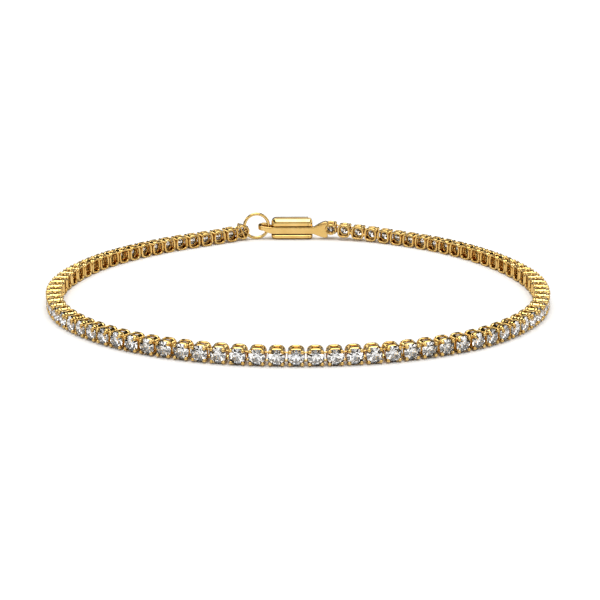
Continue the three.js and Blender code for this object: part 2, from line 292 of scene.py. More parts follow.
# %% Colour and node helpers
def linear(hex_colour):
    values = [int(hex_colour[i:i + 2], 16) / 255 for i in (1, 3, 5)]
    return (*(v / 12.92 if v <= 0.04045 else ((v + 0.055) / 1.055) ** 2.4 for v in values), 1.0)


def add(tree, kind, inputs=None, **settings):
    """Adds a node; an input is either a value or another node's output socket."""
    made = tree.nodes.new(kind)
    for name, value in settings.items():
        setattr(made, name, value)
    for name, value in (inputs or {}).items():
        if isinstance(value, bpy.types.NodeSocket):
            tree.links.new(value, made.inputs[name])
        else:
            made.inputs[name].default_value = value
    return made


def new_material(name):
    made = bpy.data.materials.new(name)
    made.use_nodes = True
    made.node_tree.nodes.clear()
    return made, made.node_tree


def per_mm(size):
    """The scale of a pattern whose grains are this many millimetres across."""
    return 1 / (size * MM)


# %% [markdown]
# ## Yellow gold
# 14 carat yellow gold is an alloy with a warm, slightly soft colour. Each finish differs only in how the
# surface was worked: tumbled and polished settings, a mirror-polished ring and cover, a satin-brushed
# tongue. All three share one recipe: colour that wanders a little with the alloy, roughness that wanders
# with the polishing, and a very fine relief of polishing marks. Where gold turns away from the eye, a
# blue-grey specular tint paints its reflection darker and paler: a painted dark edge, not a colour of gold.

# %% The gold recipe
def gold(name, light, dark, roughness, relief, grain, stretch=(1, 1, 1)):
    material, tree = new_material(name)
    place = add(tree, "ShaderNodeTexCoord")
    stretched = add(tree, "ShaderNodeMapping", {"Vector": place.outputs["Object"], "Scale": stretch})
    cloud = add(tree, "ShaderNodeTexNoise", {
        "Vector": place.outputs["Object"],
        "Scale": per_mm(1.3),  # wanders over a little less than one setting
        "Detail": 3.0,
    })
    colour = add(tree, "ShaderNodeValToRGB", {"Fac": cloud.outputs["Fac"]})
    colour.color_ramp.elements[0].position = 0.35
    colour.color_ramp.elements[0].color = linear(dark)
    colour.color_ramp.elements[1].position = 0.65
    colour.color_ramp.elements[1].color = linear(light)
    marks = add(tree, "ShaderNodeTexNoise", {
        "Vector": stretched.outputs["Vector"],
        "Scale": per_mm(grain),
        "Detail": 4.0,
        "Roughness": 0.6,
    })
    polish = add(tree, "ShaderNodeMapRange", {
        "Value": marks.outputs["Fac"],
        "From Min": 0.3,
        "From Max": 0.7,
        "To Min": roughness[0],
        "To Max": roughness[1],
    })
    bump = add(tree, "ShaderNodeBump", {
        "Height": marks.outputs["Fac"],
        "Strength": relief,
        "Distance": 0.02 * MM,
    })
    shader = add(tree, "ShaderNodeBsdfPrincipled", {
        "Base Color": colour.outputs["Color"],
        "Metallic": 1.0,
        # painted shade: this tint paints darker, paler reflections at the edges, in place of dark
        # surroundings
        "Specular Tint": linear("#93A0B6"),  # darker and paler where it turns away from the eye
        "Roughness": polish.outputs["Result"],
        "Normal": bump.outputs["Normal"],
    })
    add(tree, "ShaderNodeOutputMaterial", {"Surface": shader.outputs["BSDF"]})
    return material


# %% Three finishes of the same alloy
# The last size is that of the polishing marks. Real ones are about 0.02 mm wide and would not show, so they
# are drawn coarser. The satin lines are stretched along the bar.
# tumbled and hand-polished wire: bright, with soft edges to its reflections
set_gold = gold("tumble_polished_yellow_gold", "#E8C57E", "#DBB063", (0.05, 0.10), 0.06, 0.22)
# mirror polish: the eye sees the studio in it, in long streaks
mirror_gold = gold("mirror_polished_yellow_gold", "#E8C57E", "#DFB96D", (0.03, 0.07), 0.03, 0.35)
# satin: fine lines along the bar, so it reads as an even sheet of colour
satin_gold = gold("satin_brushed_yellow_gold", "#E5C17A", "#DCB56C", (0.11, 0.17), 0.05, 0.04, (0.08, 1, 1))

# %% [markdown]
# ## Diamond
# A brilliant is clear, but its facets send each bit of light somewhere else, so it looks white, grey and
# black at once. A painted pattern of triangles could stand for that, but it would not change as the
# bracelet turns. Real facets and real refraction do: a transparent shader with the refractive index of
# diamond, 2.417, which is high enough to turn most of the light back inside the stone.


# %% The stones' material
# near-colourless diamond: no tint of its own, and every stone a trace warmer or cooler than the next
def diamond_material():
    material, tree = new_material("near_colourless_diamond")
    place = add(tree, "ShaderNodeTexCoord")
    body = add(tree, "ShaderNodeTexNoise", {
        "Vector": place.outputs["Object"],
        "Scale": per_mm(2.6),  # a little more than from stone to stone
        "Detail": 0.0,
    })
    colour = add(tree, "ShaderNodeValToRGB", {"Fac": body.outputs["Fac"]})
    colour.color_ramp.elements[0].position = 0.3
    colour.color_ramp.elements[0].color = linear("#FFFCF6")
    colour.color_ramp.elements[1].position = 0.7
    colour.color_ramp.elements[1].color = linear("#F6F9FF")
    shader = add(tree, "ShaderNodeBsdfPrincipled", {
        "Base Color": colour.outputs["Color"],
        "Roughness": 0.0,
        "IOR": 2.417,
        "Transmission Weight": 1.0,
    })
    add(tree, "ShaderNodeOutputMaterial", {"Surface": shader.outputs["BSDF"]})
    return material


diamond = diamond_material()
print("Materials:", [material.name for material in (set_gold, mirror_gold, satin_gold, diamond)])

# %% [markdown]
# ## The brilliant
# Stones as small as these often have the simplest round cut of 17 facets: a table, eight crown facets and
# eight pavilion facets. Fewer and larger facets give bold black and white flashes, as in the photo. A
# cone with eight sides could be cut down with booleans, but the facets' planes are known, so their
# corners are worked out. Each plane touches the girdle at one of eight points, so the girdle is scalloped
# and its corners follow.

# %% Proportions of the cut, as shares of the girdle's radius
STONE_RADIUS = 0.89
TABLE_SHARE = 0.56
CROWN_ANGLE = math.radians(33.5)
PAVILION_ANGLE = math.radians(40.9)
GIRDLE = 0.035
GIRDLE_LEVEL = 0.47  # the girdle's middle, in the setting


# %% Build the stone's shell
def ring_of(radius, level, count, turn=0.0):
    angles = [2 * math.pi * i / count + turn for i in range(count)]
    return [(radius * math.cos(a), radius * math.sin(a), level) for a in angles]


def brilliant():
    eighth = math.pi / 8
    top = GIRDLE / 2
    rise = math.tan(CROWN_ANGLE)
    fall = math.tan(PAVILION_ANGLE)
    table = ring_of(TABLE_SHARE, top + (1 - TABLE_SHARE * math.cos(eighth)) * rise, 8, eighth)
    upper = []
    lower = []
    for i in range(16):
        scallop = 1 - math.cos(eighth) if i % 2 else 0.0
        upper += [(math.cos(eighth * i), math.sin(eighth * i), top + scallop * rise)]
        lower += [(math.cos(eighth * i), math.sin(eighth * i), -top - scallop * fall)]
    points = np.array(table + upper + lower + [(0, 0, -top - fall)]) * STONE_RADIUS
    points[:, 2] += GIRDLE_LEVEL
    upper_start = len(table)
    lower_start = upper_start + len(upper)
    culet = lower_start + len(lower)
    faces = [tuple(range(len(table)))]
    for i in range(8):
        sides = ((2 * i - 1) % 16, 2 * i, 2 * i + 1)
        high = [upper_start + side for side in sides]
        low = [lower_start + side for side in sides]
        faces.append(((i - 1) % 8, *high, i))
        faces.append((culet, *low[::-1]))
        faces.append((high[0], low[0], low[1], high[1]))
        faces.append((high[1], low[1], low[2], high[2]))
    return points, faces


GIRDLE_FACES = 16
stone_shell = brilliant()
stone_height = float(np.ptp(stone_shell[0][:, 2]))
print("The stone's facets:", len(stone_shell[1]) - GIRDLE_FACES)
print("Its height in mm:", round(stone_height, 2))


# %% [markdown]
# ## The basket
# Each setting is a little basket of wire: an open rim towards the wrist, a seat round the stone, four
# waisted corner posts between them and four prongs that end in beads over the stone. The rim and seat are
# rounded squares, so they are swept as one section round such an outline. A bevel modifier on joined
# boxes could do it too, but a swept section keeps the wire's thickness the same all round and gives clean
# long faces.

# %% A rounded square outline with its outward directions
SQUARENESS = 3.0  # 2 gives an ellipse, and a large number a sharp square


def outline_point(angle, half_width, half_height):
    cos, sin = math.cos(angle), math.sin(angle)
    u = math.copysign(abs(cos) ** (2 / SQUARENESS), cos)
    v = math.copysign(abs(sin) ** (2 / SQUARENESS), sin)
    normal = np.array([
        math.copysign(abs(u) ** (SQUARENESS - 1), u) / half_width,
        math.copysign(abs(v) ** (SQUARENESS - 1), v) / half_height,
    ])
    return np.array([u * half_width, v * half_height]), normal / np.linalg.norm(normal)


def rounded_square(half_width, half_height, count=36):
    pairs = [outline_point(2 * math.pi * i / count, half_width, half_height) for i in range(count)]
    return np.array([point for point, _ in pairs]), np.array([normal for _, normal in pairs])


# %% The section of a soft-edged wire: depth inwards from the outline, and level
def soft_section(depth, low, high, soft):
    half = soft * 0.42
    return [
        (0, low + soft),
        (0, high - soft),
        (-half, high - half * 0.35),
        (-soft, high),
        (soft - depth, high),
        (half - depth, high - half * 0.35),
        (-depth, high - soft),
        (-depth, low + soft),
        (half - depth, low + half * 0.35),
        (soft - depth, low),
        (-soft, low),
        (-half, low + half * 0.35),
    ]


def swept(outline, outward, section):
    """One closed section carried round a closed outline."""
    rings = []
    for point, direction in zip(outline, outward):
        rings.append(np.array([(*(point + direction * across), level) for across, level in section]))
    return lofted(rings, closed=True)


# %% The open rim on the wrist's side
WIRE_SOFT = 0.13
setting_outline = rounded_square(WIDTH / 2, HEIGHT / 2)
rim_shell = swept(*setting_outline, soft_section(WIRE, RIM_BACK, RIM_FRONT, WIRE_SOFT))

# %% [markdown]
# Inside the seat is a cup: a cone that the stone lies in, which runs on as a short tube towards the
# wrist. Its round hole lets light in from behind, and its gold sides are why the openings of the basket
# look deep amber.


# %% The seat and its cup
def seat(hole_radius):
    outline, outward = setting_outline
    angles = np.arctan2(outline[:, 1], outline[:, 0])
    circle = np.stack([np.cos(angles), np.sin(angles)], axis=1)
    rows = [
        (outline - outward * 0.07, SEAT_FRONT - 0.04),
        (outline - outward * 0.02, SEAT_FRONT - 0.10),
        (outline, SEAT_FRONT - 0.17),
        (outline, SEAT_BACK + 0.06),
        (outline - outward * 0.06, SEAT_BACK),
        (outline - outward * 0.20, SEAT_BACK - 0.03),
        (circle * (hole_radius + 0.25), SEAT_BACK - 0.14),
        (circle * (hole_radius + 0.17), SEAT_BACK - 0.38),
        (circle * (hole_radius + 0.11), SEAT_BACK - 0.46),
        (circle * (hole_radius + 0.03), SEAT_BACK - 0.46),
        (circle * hole_radius, SEAT_BACK - 0.41),
        (circle * hole_radius, SEAT_BACK + 0.04),
        (circle * (STONE_RADIUS - 0.02), GIRDLE_LEVEL - 0.06),
        (circle * (STONE_RADIUS - 0.01), SEAT_FRONT - 0.07),
    ]
    rings = [np.column_stack([flat, np.full(len(flat), level)]) for flat, level in rows]
    return lofted(rings, closed=True)


HOLE_RADIUS = 0.5
seat_shell = seat(HOLE_RADIUS)

# %% [markdown]
# The posts are wide where they join the rim and the seat and slim between, which is where the wire was
# filed away. So the openings between them are lenses, and two neighbouring posts read as one bright bar
# across the band. Each post follows the outline round its corner, and only its width changes from row to
# row.


# %% A corner post: level, degrees round the corner to each side, how far it is sunk in
POST_THICKNESS = 0.2
POST_ROWS = [
    (-0.80, 37, 0.09),
    (-0.70, 38, 0.03),
    (-0.61, 36, 0.0),
    (-0.50, 28, 0.0),
    (-0.36, 22, 0.01),
    (-0.24, 21, 0.01),
    (-0.12, 25, 0.0),
    (-0.02, 33, 0.0),
    (0.05, 37, 0.0),
    (0.14, 39, 0.03),
    (0.24, 38, 0.09),
]
POST_EDGES = {0.94: 0.02, 1.0: 0.07}  # how far the outer face is rounded off, near each side
CORNERS = ((1, 1), (-1, 1), (-1, -1), (1, -1))


def post(su, sv, rows):
    rings = []
    across = (-1.0, -0.94, -0.8, -0.45, 0.0, 0.45, 0.8, 0.94, 1.0)
    for level, spread, sink in rows:
        outer = []
        inner = []
        for share in across:
            point, normal = outline_point(math.radians(45 + spread * share), WIDTH / 2, HEIGHT / 2)
            edge = POST_EDGES.get(abs(share), 0.0)
            outer.append(point - normal * (sink + edge))
            inner.append(point - normal * (sink + POST_THICKNESS))
        rings.append(np.array([(su * u, sv * v, level) for u, v in outer + inner[::-1]]))
    return lofted(rings)


post_shell = joined([post(su, sv, POST_ROWS) for su, sv in CORNERS])


# %% A prong: wire that rises from the corner, leans in and ends in a bead over the stone's edge
def prong(su, sv):
    direction = np.array([su, sv]) * math.sqrt(0.5)
    side = np.array([-direction[1], direction[0]])
    # distance from the setting's axis, level, half width, half thickness
    rows = [
        (0.930, 0.18, 0.16, 0.12),
        (0.935, 0.36, 0.17, 0.125),
        (0.940, 0.50, 0.185, 0.14),
        (0.930, 0.60, 0.205, 0.17),
        (0.915, 0.68, 0.21, 0.19),
        (0.900, 0.755, 0.19, 0.175),
        (0.890, 0.815, 0.14, 0.13),
        (0.885, 0.845, 0.06, 0.06),
    ]
    facets = 12
    rings = []
    for distance, level, wide, thick in rows:
        ring = []
        for i in range(facets):
            angle = 2 * math.pi * i / facets
            flat = direction * (distance + thick * math.cos(angle)) + side * wide * math.sin(angle)
            ring.append((flat[0], flat[1], level))
        rings.append(np.array(ring))
    return lofted(rings)


prong_shell = joined([prong(su, sv) for su, sv in CORNERS])
basket_shell = joined([rim_shell, seat_shell, post_shell, prong_shell])
print("One basket's faces:", len(basket_shell[1]))

# %% [markdown]
# ## The two ends
# The setting at the clasp has a round rim, which the tongue's flare reaches round. The last setting at
# the jump ring is a plain deep tube with two crossed wires over its opening. Its seat is only a shallow
# ring, so there is nothing to catch the light inside and the tube looks dark. Both are made of the same
# shells as the others, with only their own parts exchanged, so they stay one family.


# %% The end setting at the clasp: a round rim, and posts that lean in to it
END_RIM_RADIUS = 0.80
END_RIM_WALL = 0.24
END_RIM_PROUD = 0.08  # how far it stands out behind the other rims
END_LEAN = 0.24
LEAN_START = 0.05  # the level at which the posts begin to lean
LEAN_LENGTH = 0.75


def round_rim(steps=40):
    angles = [2 * math.pi * i / steps for i in range(steps)]
    circle = np.array([(math.cos(a), math.sin(a)) for a in angles])
    section = soft_section(END_RIM_WALL, RIM_BACK - END_RIM_PROUD, RIM_FRONT, 0.12)
    return swept(circle * END_RIM_RADIUS, circle, section)


def leaning_row(level, spread, sink):
    share = min(1.0, max(0.0, (LEAN_START - level) / LEAN_LENGTH))
    return level, spread * 0.8, sink + END_LEAN * share**1.5


end_rows = [leaning_row(*row) for row in POST_ROWS]
end_posts = joined([post(su, sv, end_rows) for su, sv in CORNERS])
end_shell = joined([round_rim(), seat_shell, end_posts, prong_shell])
print("The end setting's faces:", len(end_shell[1]))


# %% The last setting on the jump ring: a tube with crossed wires
def straight_wire(start, end, radius, facets=10):
    start, end = np.array(start, float), np.array(end, float)
    along = (end - start) / np.linalg.norm(end - start)
    helper = np.array([0, 0, 1.0]) if abs(along[2]) < 0.9 else np.array([1.0, 0, 0])
    side = np.cross(along, helper)
    side /= np.linalg.norm(side)
    other = np.cross(along, side)
    rings = []
    for place in (start, end):
        ring = []
        for i in range(facets):
            angle = -2 * math.pi * i / facets
            ring.append(place + radius * (math.cos(angle) * side + math.sin(angle) * other))
        rings.append(np.array(ring))
    return lofted(rings)


CROSS_WIRE = 0.11
CROSS_U = 0.58  # how far the wires reach to each side
CROSS_V = 0.62
CROSS_LEVELS = (-0.82, -0.76)
TUBE_WALL = 0.26
TUBE_SEAT_SINK = 0.12  # of the shallow seat, into the tube's wall
first_level, second_level = CROSS_LEVELS
cross = [
    straight_wire((-CROSS_U, -CROSS_V, first_level), (CROSS_U, CROSS_V, first_level), CROSS_WIRE),
    straight_wire((-CROSS_U, CROSS_V, second_level), (CROSS_U, -CROSS_V, second_level), CROSS_WIRE),
]
tube_shell = swept(*setting_outline, soft_section(TUBE_WALL, RIM_BACK, SEAT_FRONT - 0.04, 0.12))
tube_seat_outline = rounded_square(WIDTH / 2 - TUBE_SEAT_SINK, HEIGHT / 2 - TUBE_SEAT_SINK)
tube_seat = swept(*tube_seat_outline, soft_section(0.3, 0.05, 0.42, 0.1))
last_shell = joined([tube_shell, tube_seat, prong_shell, *cross])
print("The last setting's faces:", len(last_shell[1]))

# %% [markdown]
# ## Links
# Neighbouring baskets are joined by two short bars between their seats. On the real bracelet they are the
# links that let it bend. The upper one is slimmer in the photo and catches the light, the lower one is in
# shade. An array modifier along a curve could repeat a link, but each pair of baskets stands at its own
# angle, so each bar is drawn from one basket to the next.


# %% Two bars from one basket to the next
LINK_LAP = 0.12  # of each bar's end, inside the basket
LINK_BARS = ((0.47, 0.20, 0.09), (-0.45, 0.02, 0.13))  # height, level and radius


def links(before, after):
    bars = []
    for height, level, radius in LINK_BARS:
        start = before[0] + np.array([WIDTH / 2 - LINK_LAP, height, level]) @ before[1]
        end = after[0] + np.array([LINK_LAP - WIDTH / 2, height, level]) @ after[1]
        bars.append(straight_wire(start, end, radius))
    return joined(bars)


# %% Put the baskets, stones and links on the loop, and join them to one piece for each half
def basket_at(index):
    if index == 0:
        return last_shell
    if index == COUNT - 1:
        return end_shell
    return basket_shell


BASKET_SHARP = 50  # degrees: wire stays round
FACET_SHARP = 1  # every edge of a cut stone is sharp


def string_pieces(side, indices, node):
    baskets = [placed(basket_at(index), stations[index]) for index in indices]
    stones = [placed(stone_shell, stations[index]) for index in indices]
    gold_piece = piece(f"baskets_{side}", joined(baskets), set_gold, "bracelet", BASKET_SHARP)
    stone_piece = piece(f"brilliants_{side}", joined(stones), diamond, "bracelet", FACET_SHARP)
    bars = [links(stations[index], stations[index + 1]) for index in indices if index + 1 < COUNT]
    link_piece = piece(f"links_{side}", joined(bars), set_gold, "bracelet")
    for made in (gold_piece, stone_piece, link_piece):
        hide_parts(node)


string_pieces("left", range(LEFT_COUNT), "stone_line_left")
string_pieces("right", range(LEFT_COUNT, COUNT - 1), "stone_line_right")

# %% The end setting belongs to the clasp's tongue
end_basket_shell = placed(end_shell, stations[-1])
end_stone_shell = placed(stone_shell, stations[-1])
end_basket = piece("end_basket", end_basket_shell, set_gold, "bracelet", BASKET_SHARP)
end_brilliant = piece("end_brilliant", end_stone_shell, diamond, "bracelet", FACET_SHARP)
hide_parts("clasp_tongue")
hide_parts("clasp_tongue")

# %% [markdown]
# ## The tongue
# The tongue is one strip of gold: it is forged wide and thin where it is soldered to the end setting,
# runs as a bar through the cover, and is bent back into a hook for the ring. A curve with a bevel object
# could sweep it, but its section changes along the way, so the sections are placed one by one and
# skinned.

# %% Sizes of the clasp
WRIST_FACE = -0.85
BAR_THICKNESS = 0.7
HOOK_THICKNESS = 0.45
HOOK_SLOT = 0.6
HOOK_START = -8.2
HOOK_RISE = 0.5  # of the bar's lower edge, towards the bend
HOOK_CREST = 0.15  # of its upper edge, at the bend
RETURN_RISE = 0.45  # of the upper edge, behind the slot
BAR_LOW = 0.81
BAR_HIGH = 1.75
BAR_SOFT = 0.1  # the roundness of its edges
FLARE_START = -2.5
FLARE_END = -0.45
FLARE_HEIGHT = 2.3
FLARE_MIDDLE = 1.38
FLARE_DEPTH = 0.45  # more than the bar's thickness, at the end setting
FLARE_HOLLOW = 0.42  # of its end, round the end setting's rim
FLARE_TIP_ROUND = 0.16
COVER_FREE = -8.4
HOOK_BEND_X = -9.52
HOOK_MIDDLE_Y = WRIST_FACE + HOOK_THICKNESS + HOOK_SLOT / 2
TIP_X = COVER_FREE + 0.35


# %% A bar's section, seen along it: soft-edged rectangle between two depths and two heights
def bar_section(near, far, low, high, soft):
    points = []
    centres = (
        (far - soft, high - soft),
        (near + soft, high - soft),
        (near + soft, low + soft),
        (far - soft, low + soft),
    )
    for quarter, (depth, height) in enumerate(centres):
        for i in range(5):
            angle = math.pi / 2 * (quarter + i / 4)
            points.append((depth + soft * math.cos(angle), height + soft * math.sin(angle)))
    return points


# %% The flare: from its hollow end, which holds the end setting's round rim, down to the bar
def flare_rings():
    reach = FLARE_END - FLARE_START
    rings = []
    steps = 14
    for i in range(steps, 0, -1):
        share = i / steps
        rise = math.sin(math.pi / 2 * share) ** 1.1
        low = BAR_LOW + (FLARE_MIDDLE - FLARE_HEIGHT / 2 - BAR_LOW) * rise
        high = BAR_HIGH + (FLARE_MIDDLE + FLARE_HEIGHT / 2 - BAR_HIGH) * rise
        rounded = FLARE_TIP_ROUND * max(0.0, (share - 0.8) / 0.2) ** 3
        low += rounded
        high -= rounded
        middle = (low + high) / 2
        half = (high - low) / 2
        ring = []
        for depth, height in bar_section(-BAR_THICKNESS - FLARE_DEPTH * rise, 0.0, low, high, BAR_SOFT):
            away = (height - middle) / half
            hollow = FLARE_HOLLOW * (1 - away * away) * share**2
            ring.append((FLARE_START + reach * share - hollow, WRIST_FACE - depth, height))
        rings.append(np.array(ring))
    return rings


# %% The bar and its hook: the section turns with the path
def bar_rings():
    stops = []
    for x, thickness in (
        (FLARE_START, BAR_THICKNESS),
        (-4.0, BAR_THICKNESS),
        (-6.0, BAR_THICKNESS),
        (TIP_X + 0.25, BAR_THICKNESS),
        (TIP_X + 0.1, 0.64),
        (TIP_X - 0.1, 0.52),
        (TIP_X - 0.25, HOOK_THICKNESS),
        (-8.7, HOOK_THICKNESS),
        (-9.1, HOOK_THICKNESS),
    ):
        slim = (max(0.0, HOOK_START - x) / (HOOK_START - HOOK_BEND_X)) ** 1.4
        low = BAR_LOW + HOOK_RISE * slim
        high = BAR_HIGH + HOOK_CREST * slim
        stops.append(((x, WRIST_FACE), (0.0, -1.0), thickness, low, high))
    outer = HOOK_SLOT / 2 + HOOK_THICKNESS
    turns = 16
    for i in range(turns + 1):
        angle = math.pi * (1.5 - i / turns)
        normal = (math.cos(angle), math.sin(angle))
        middle = (HOOK_BEND_X + outer * normal[0], HOOK_MIDDLE_Y + outer * normal[1])
        grown = i / turns
        low = BAR_LOW + HOOK_RISE * (1 + 0.25 * grown)
        high = BAR_HIGH + HOOK_CREST + (RETURN_RISE - HOOK_CREST) * grown
        stops.append((middle, normal, HOOK_THICKNESS, low, high))
    # how high the return stands, and how much its tip is rounded, towards the cover's open end
    returns = (
        (-9.2, 1.0, 0.0),
        (-8.9, 0.85, 0.0),
        (-8.65, 0.5, 0.0),
        (-8.45, 0.25, 0.0),
        (TIP_X - 0.1, 0.2, 0.0),
        (TIP_X, 0.2, 0.06),
    )
    for x, grown, shrink in returns:
        middle = (x, HOOK_MIDDLE_Y + outer - shrink)
        low = BAR_LOW + HOOK_RISE * (0.8 + 0.45 * grown) + shrink
        high = BAR_HIGH + RETURN_RISE * grown - shrink
        stops.append((middle, (0.0, 1.0), HOOK_THICKNESS - 2 * shrink, low, high))
    rings = []
    for (x, y), (nx, ny), thickness, low, high in stops:
        section = bar_section(-thickness, 0.0, low, high, BAR_SOFT)
        rings.append(np.array([(x + nx * depth, y + ny * depth, height) for depth, height in section]))
    return rings


# %% The knuckle round the hinge pin
def upright_round(x, y, radius, low, high, facets=32, dome=0.0):
    rows = [(radius - dome, low), (radius - dome * 0.3, low + dome * 0.35), (radius, low + dome)]
    rows += [(radius, high - dome), (radius - dome * 0.3, high - dome * 0.35), (radius - dome, high)]
    rings = [np.array(ring_of(size, level, facets)) + [x, y, 0] for size, level in rows]
    return lofted(rings)


KNUCKLE_RADIUS = 0.58
knuckle = upright_round(PIN_X, PIN_Y, KNUCKLE_RADIUS, BAR_LOW + 0.01, BAR_HIGH - 0.01, dome=0.06)
clasp_place = (CLASP_ORIGIN, np.eye(3))
tongue_shell = joined([lofted(flare_rings() + bar_rings()), knuckle])
tongue = piece("tongue", placed(tongue_shell, clasp_place), satin_gold, "bracelet")
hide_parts("clasp_tongue")

# %% [markdown]
# ## The cover
# The cover is a channel of sheet that snaps over the hook. Its open side shows two rims towards the
# wrist, each with a fine groove beside a polished bevel, and a flat roof. The free end is drawn in and
# rounded. A box with a solidify and a bevel modifier would give a plain channel, but not the groove and
# the drawn-in end, so the channel's section is written down and carried along it.

# %% Sizes of the cover
COVER_HINGE_END = -2.6
COVER_HEIGHT = 2.9
COVER_OUT = 1.35
COVER_PLATE = 0.9  # the outer plate's inside
CHANNEL_LOW = 0.65
CHANNEL_HIGH = 1.95
LUG_START = PIN_X - 0.2
END_ROUND = 0.75


# %% One wall of the cover: rim, groove, polished bevel, roof and the turn to the outer plate
def wall_profile(thickness, rim):
    """Depth, and height over the channel's side, for a wall of this thickness."""
    return [
        (WRIST_FACE + 0.04, 0.0),
        (WRIST_FACE, 0.04),
        (WRIST_FACE, rim - 0.04),
        (WRIST_FACE + 0.03, rim),
        (WRIST_FACE + 0.20, rim + 0.02),
        (WRIST_FACE + 0.20, rim + 0.06),
        (WRIST_FACE + 0.05, rim + 0.10),
        (WRIST_FACE + 0.08, rim + 0.14),
        (WRIST_FACE + 0.30, thickness - 0.07),
        (WRIST_FACE + 0.35, thickness - 0.02),
        (WRIST_FACE + 0.42, thickness),
        (COVER_OUT - 0.34, thickness),
        (COVER_OUT - 0.27, thickness - 0.01),
        (COVER_OUT - 0.12, thickness - 0.08),
        (COVER_OUT - 0.03, thickness - 0.20),
        (COVER_OUT, thickness - 0.38),
    ]


RIM_TURN = 0.5  # how far the rims turn away from the wrist, at the very end
DRAWN = 0.6  # the share of the walls and the plate that is drawn in there


def drawn_in(depth, height, shrink):
    if depth < 0:
        depth += shrink * RIM_TURN * (depth / WRIST_FACE)
    elif depth > COVER_PLATE:
        depth -= shrink * DRAWN * (depth - COVER_PLATE)
    return depth, height * (1 - DRAWN * shrink)


UPPER_WALL = wall_profile(COVER_HEIGHT - CHANNEL_HIGH, 0.48)
LOWER_WALL = wall_profile(CHANNEL_LOW, 0.40)
INSIDE_CORNER = [(COVER_PLATE, -0.1), (COVER_PLATE - 0.1, 0.0)]


def channel_section(shrink):
    upper = INSIDE_CORNER + [drawn_in(*point, shrink) for point in UPPER_WALL]
    lower = INSIDE_CORNER + [drawn_in(*point, shrink) for point in LOWER_WALL]
    section = [(depth, CHANNEL_HIGH + height) for depth, height in upper]
    section += [(depth, CHANNEL_LOW - height) for depth, height in lower[::-1]]
    return section


def end_round(share):
    """From 1 at the very end to 0 where the rounding stops."""
    return 1 - math.sqrt(1 - (1 - share) ** 2)


def channel_part():
    rings = []
    for share in (0.0, 0.03, 0.1, 0.2, 0.35, 0.5, 0.7, 1.0):
        x = COVER_FREE + END_ROUND * share
        rings.append([(x, depth, height) for depth, height in channel_section(end_round(share))])
    for x in (-6.0, -4.5, LUG_START):
        rings.append([(x, depth, height) for depth, height in channel_section(0.0)])
    return lofted([np.array(ring) for ring in rings])


# %% The two lugs that the pin goes through
LUG_REACH = COVER_HINGE_END - PIN_X
LUG_LAP = 0.05  # of the lug, inside the channel
LUG_END_ROUND = 0.4
LUG_WALL_ROWS = 11  # the wall's points from its inside to its roof


def lug(wall, level, sign):
    thickness = max(height for _, height in wall)
    rings = []
    for share in (1.0, 0.8, 0.6, 0.45, 0.3, 0.18, 0.08, 0.02, 0.0):
        x = COVER_HINGE_END - (COVER_HINGE_END - LUG_START + LUG_LAP) * share
        shrink = end_round(min(1.0, (COVER_HINGE_END - x) / LUG_END_ROUND))
        height_share = 1 - DRAWN * shrink
        beyond = min(max(x - PIN_X, 0.0), LUG_REACH)
        far = PIN_Y + math.sqrt(max(LUG_REACH**2 - beyond**2, 0.0)) + 0.02
        rows = [(far, 0.0)]
        rows += [drawn_in(*point, shrink) for point in wall[:LUG_WALL_ROWS]]
        rows += [(far - 0.06, thickness * height_share), (far, (thickness - 0.06) * height_share)]
        rings.append(np.array([(x, min(depth, far), level + sign * height) for depth, height in rows]))
    return lofted(rings)


upper_lug = lug(UPPER_WALL, CHANNEL_HIGH, 1)
lower_lug = lug(LOWER_WALL, CHANNEL_LOW, -1)
cover_shell = placed(joined([channel_part(), upper_lug, lower_lug]), clasp_place)
cover = piece("cover_channel", cover_shell, mirror_gold, "cover", 30)
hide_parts("clasp_cover")

# %% The hinge pin, with ends that were hammered round
PIN_RADIUS = 0.22
PIN_SHORT = 0.03  # of the cover's height, at each end
pin_shell = upright_round(PIN_X, PIN_Y, PIN_RADIUS, PIN_SHORT, COVER_HEIGHT - PIN_SHORT, dome=0.07)
pin = piece("pin", placed(pin_shell, clasp_place), mirror_gold, "bracelet")
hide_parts("hinge_pin")

# %% [markdown]
# ## The jump ring
# A jump ring is round wire bent to a circle. Blender's own torus would do, but it would then have to be
# turned and moved into place, and here the ring's directions are known already. A torus in code also gets
# as many facets as its reflections need.


# %% The ring, stood on its edge
def jump_ring_shell(around=96, section=20):
    rings = []
    for i in range(around):
        angle = 2 * math.pi * i / around
        ring = []
        for j in range(section):
            turn = 2 * math.pi * j / section
            radius = RING_RADIUS + RING_WIRE / 2 * math.cos(turn)
            along = ring_heading * radius * math.cos(angle)
            across = ring_outward * RING_WIRE / 2 * math.sin(turn)
            upwards = np.array([0, 0, radius * math.sin(angle)])
            ring.append(ring_middle + along + across + upwards)
        rings.append(np.array(ring))
    return lofted(rings, closed=True)


ring_shell = placed(jump_ring_shell(), clasp_place)
ring = piece("ring", ring_shell, mirror_gold, "bracelet")
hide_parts("jump_ring")

# %% [markdown]
# ## The studio
# Jewellery is photographed on a white sweep under large soft lamps, with a few dark cards that give gold
# and diamonds their black accents. Lamps and cards could be built as planes, but the world does the same
# with nothing to place: its brightness follows direction, with a large lamp overhead and one bright strip
# between black cards on the camera's side and one on the backdrop's. Rays that reach the camera straight
# see white, as a white sweep would look.

